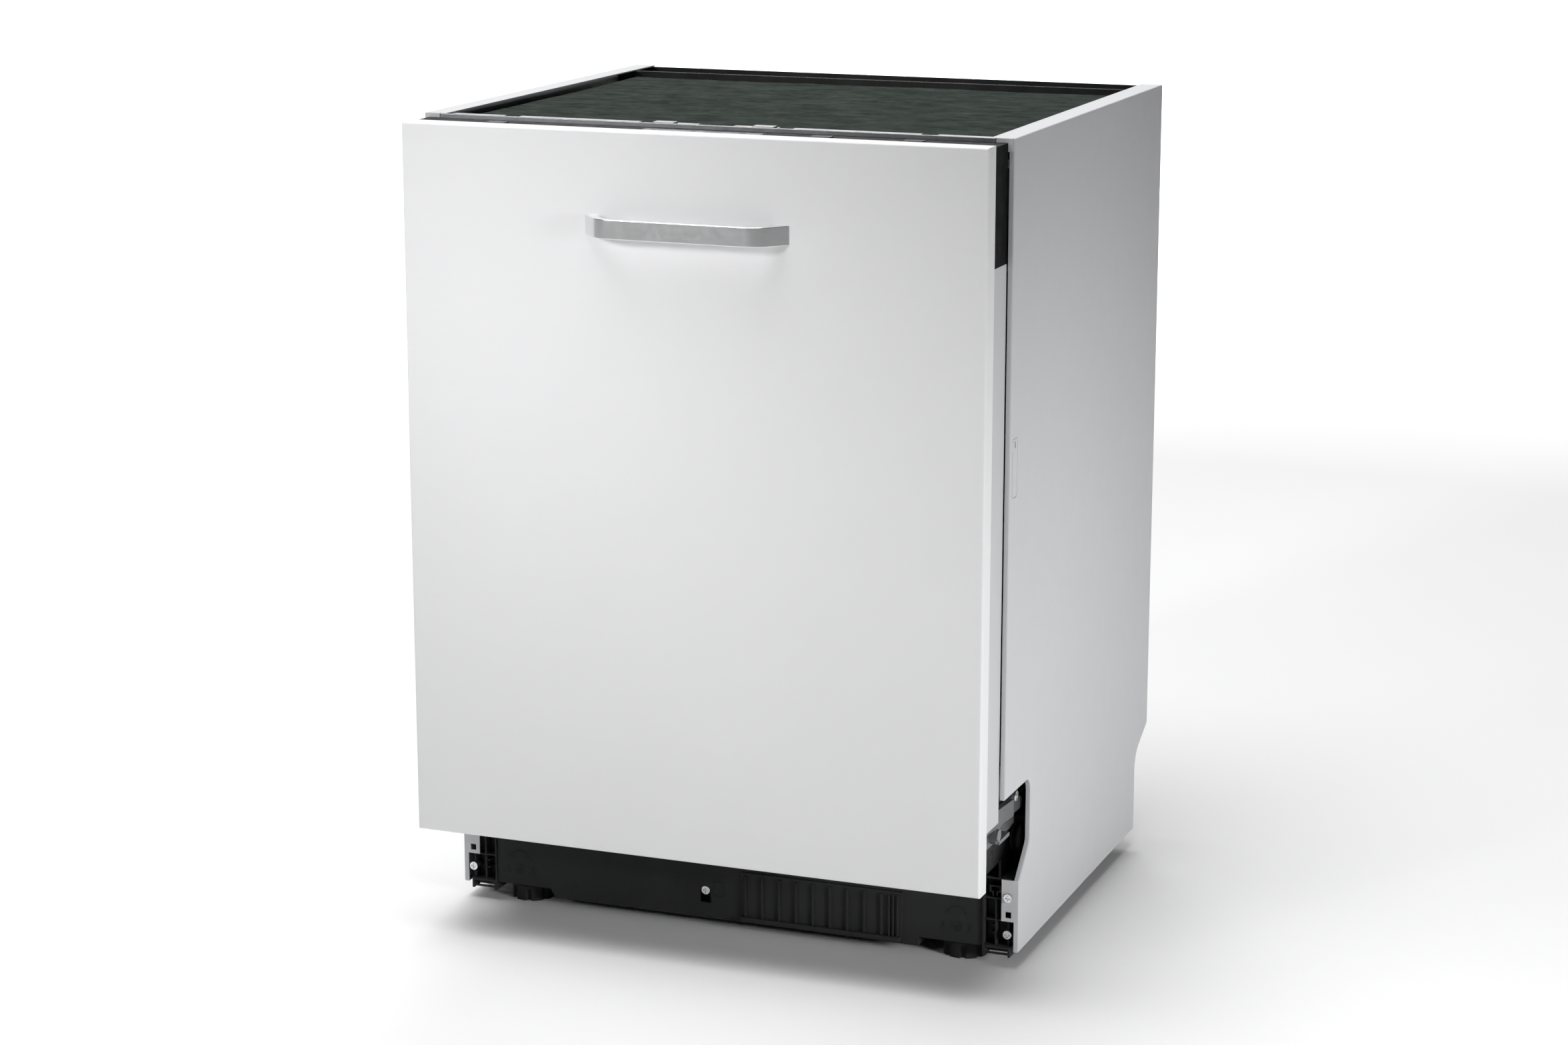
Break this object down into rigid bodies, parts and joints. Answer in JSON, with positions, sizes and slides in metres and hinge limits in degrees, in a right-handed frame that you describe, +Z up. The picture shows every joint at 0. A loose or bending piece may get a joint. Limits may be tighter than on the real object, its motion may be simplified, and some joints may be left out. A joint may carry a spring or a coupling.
{
  "type": "built-in dishwasher",
  "caption": "Fully integrated built-in dishwasher with a white furniture front, bow handle, drop-down door, sliding racks, spray arms, steel tub and adjustable feet.",
  "frame": {"origin": "centre of the footprint, on the floor under the feet", "axes": "+X to the right seen from the front, +Y to the back, +Z up; the door and handle face -Y"},
  "size_m": [0.598, 0.595, 0.815],
  "materials": {
    "side_paint": "smooth satin powder coat",
    "front_lacquer": "satin white lacquer on board",
    "handle_metal": "satin brushed",
    "zinc_steel": "zinc plated",
    "clip_paint": "light grey",
    "felt": "mottled dark sound mat",
    "black_steel": "satin black",
    "inox": "fine brushed stainless",
    "black_plastic": "fine grained",
    "rubber_seal": "matt",
    "screw_zinc": "bright zinc",
    "grey_plastic": "moulded",
    "pale_plastic": "moulded",
    "motor": "moulded",
    "filter_mesh": "perforated sheet",
    "rack_coating": "nylon coated wire",
    "arm_steel": "dark grey coated steel",
    "lens": "smoked",
    "key": "satin"
  },
  "bodies": {
    "cabinet": {"left_side_panel": "side_paint", "right_side_panel": "side_paint", "front_top_rail": "zinc_steel", "worktop_brackets": "clip_paint", "top_insulation_mat": "felt", "rear_cross_rail": "black_steel", "tub": "inox", "tub_wrap": "felt", "tub_gasket": "rubber_seal", "feed_tube": "grey_plastic", "basket_rails": "zinc_steel", "base_tray": "black_plastic", "access_grille": "black_plastic", "corner_blocks": "black_plastic", "cabinet_screws": "screw_zinc", "sump": "grey_plastic", "circulation_pump": "motor", "drain_pump": "motor", "salt_tank": "grey_plastic", "air_break": "black_plastic", "inlet_valve": "pale_plastic", "drain_connector": "black_plastic", "cable_gland": "black_plastic", "fine_filter": "filter_mesh", "hinge_brackets": "zinc_steel", "balance_springs": "zinc_steel"},
    "door": {"inner_liner": "inox", "door_bottom_seal": "rubber_seal", "door_shell": "side_paint", "console_housing": "black_plastic", "display_lens": "lens", "furniture_panel": "front_lacquer", "handle": "handle_metal", "handle_screws": "screw_zinc", "door_latch": "pale_plastic", "dispenser_body": "grey_plastic", "hinge_arms": "arm_steel"},
    "upper_rack": {"upper_basket": "rack_coating"},
    "lower_rack": {"lower_basket": "rack_coating", "cutlery_basket": "grey_plastic"},
    "lower_arm": {"lower_spray_arm": "grey_plastic"},
    "upper_arm": {"upper_spray_arm": "grey_plastic"},
    "left_foot": {"left_front_foot": "black_plastic"},
    "right_foot": {"right_front_foot": "black_plastic"},
    "back_foot": {"rear_foot": "black_plastic"},
    "adjuster": {"rear_foot_adjuster": "screw_zinc"},
    "filter": {"coarse_filter": "grey_plastic"},
    "salt_lid": {"salt_cap": "pale_plastic"},
    "detergent_lid": {"dispenser_lid": "pale_plastic"},
    "rinse_cap": {"rinse_aid_cap": "pale_plastic"},
    "power_key": {"power_button": "key"},
    "program_key": {"program_button": "key"},
    "start_key": {"start_button": "key"},
    "left_shelf": {"left_cup_shelf": "rack_coating"},
    "right_shelf": {"right_cup_shelf": "rack_coating"},
    "tines": {"folding_tines": "rack_coating"},
    "front_wheels": {"front_basket_wheels": "grey_plastic"},
    "rear_wheels": {"rear_basket_wheels": "grey_plastic"},
    "rollers": {"basket_rollers": "grey_plastic"},
    "pulleys": {"balance_pulleys": "grey_plastic"}
  },
  "joints": [
    {"name": "door_hinge", "type": "hinge", "parent": "cabinet", "child": "door", "pos_m": [0, -0.2075, 0.15], "axis": [1, 0, 0], "range_deg": [0, 90], "stiffness_Nm_per_rad": 20, "springref_deg": -17.19},
    {"name": "upper_rack_slide", "type": "slide", "parent": "cabinet", "child": "upper_rack", "axis": [0, -1, 0], "range_m": [0, 0.4]},
    {"name": "lower_rack_slide", "type": "slide", "parent": "cabinet", "child": "lower_rack", "axis": [0, -1, 0], "range_m": [0, 0.15]},
    {"name": "lower_arm_spin", "type": "hinge", "parent": "cabinet", "child": "lower_arm", "pos_m": [0, 0.0375, 0.18], "axis": [0, 0, 1], "continuous": true},
    {"name": "upper_arm_spin", "type": "hinge", "parent": "upper_rack", "child": "upper_arm", "pos_m": [0, 0.0375, 0.49], "axis": [0, 0, 1], "continuous": true},
    {"name": "left_foot_screw", "type": "slide", "parent": "cabinet", "child": "left_foot", "axis": [0, 0, -1], "range_m": [0, 0.05]},
    {"name": "right_foot_screw", "type": "slide", "parent": "cabinet", "child": "right_foot", "axis": [0, 0, -1], "range_m": [0, 0.05]},
    {"name": "back_foot_lift", "type": "slide", "parent": "cabinet", "child": "back_foot", "axis": [0, 0, -1], "range_m": [0, 0.05]},
    {"name": "adjuster_turn", "type": "hinge", "parent": "cabinet", "child": "adjuster", "pos_m": [-0.0313, 0.0175, 0.0389], "axis": [0, 1, 0], "range_deg": [0, 7200]},
    {"name": "filter_twist", "type": "hinge", "parent": "cabinet", "child": "filter", "pos_m": [0.08, -0.0275, 0.15], "axis": [0, 0, 1], "range_deg": [0, 90]},
    {"name": "salt_cap_turn", "type": "hinge", "parent": "cabinet", "child": "salt_lid", "pos_m": [-0.18, 0.1275, 0.16], "axis": [0, 0, 1], "range_deg": [0, 180]},
    {"name": "dispenser_lid_slide", "type": "slide", "parent": "door", "child": "detergent_lid", "axis": [0, 0, 1], "range_m": [0, 0.064]},
    {"name": "rinse_cap_turn", "type": "hinge", "parent": "door", "child": "rinse_cap", "pos_m": [0.05, -0.2065, 0.535], "axis": [0, 1, 0], "range_deg": [0, 90]},
    {"name": "power_press", "type": "slide", "parent": "door", "child": "power_key", "axis": [0, 0, -1], "range_m": [0, 0.0012], "stiffness_N_per_m": 600, "springref_m": -0.001},
    {"name": "program_press", "type": "slide", "parent": "door", "child": "program_key", "axis": [0, 0, -1], "range_m": [0, 0.0012], "stiffness_N_per_m": 600, "springref_m": -0.001},
    {"name": "start_press", "type": "slide", "parent": "door", "child": "start_key", "axis": [0, 0, -1], "range_m": [0, 0.0012], "stiffness_N_per_m": 600, "springref_m": -0.001},
    {"name": "left_shelf_fold", "type": "hinge", "parent": "upper_rack", "child": "left_shelf", "pos_m": [-0.231, 0.0375, 0.59], "axis": [0, -1, 0], "range_deg": [0, 85]},
    {"name": "right_shelf_fold", "type": "hinge", "parent": "upper_rack", "child": "right_shelf", "pos_m": [0.231, 0.0375, 0.59], "axis": [0, 1, 0], "range_deg": [0, 85]},
    {"name": "tines_fold", "type": "hinge", "parent": "lower_rack", "child": "tines", "pos_m": [0, 0.0375, 0.214], "axis": [-1, 0, 0], "range_deg": [0, 80]},
    {"name": "front_wheel_roll", "type": "hinge", "parent": "lower_rack", "child": "front_wheels", "pos_m": [0, -0.1125, 0.1888], "axis": [1, 0, 0], "range_deg": [0, 540]},
    {"name": "rear_wheel_roll", "type": "hinge", "parent": "lower_rack", "child": "rear_wheels", "pos_m": [0, 0.1875, 0.1888], "axis": [1, 0, 0], "range_deg": [0, 540]},
    {"name": "roller_roll", "type": "hinge", "parent": "upper_rack", "child": "rollers", "pos_m": [0, 0.2225, 0.561], "axis": [1, 0, 0], "range_deg": [0, 2300]},
    {"name": "pulley_turn", "type": "hinge", "parent": "cabinet", "child": "pulleys", "pos_m": [0, -0.1275, 0.1234], "axis": [1, 0, 0], "range_deg": [0, 420]}
  ],
  "couplings": [
    {"joint": "upper_rack_slide", "follows": "door_hinge", "m_per_rad": 0.2546},
    {"joint": "lower_rack_slide", "follows": "door_hinge", "m_per_rad": 0.0954},
    {"joint": "front_wheel_roll", "follows": "door_hinge", "ratio": 5.96},
    {"joint": "rear_wheel_roll", "follows": "door_hinge", "ratio": 5.96},
    {"joint": "roller_roll", "follows": "door_hinge", "ratio": 25.46},
    {"joint": "pulley_turn", "follows": "door_hinge", "ratio": 4.6},
    {"joint": "adjuster_turn", "follows": "back_foot_lift", "rad_per_m": 2513.2}
  ]
}
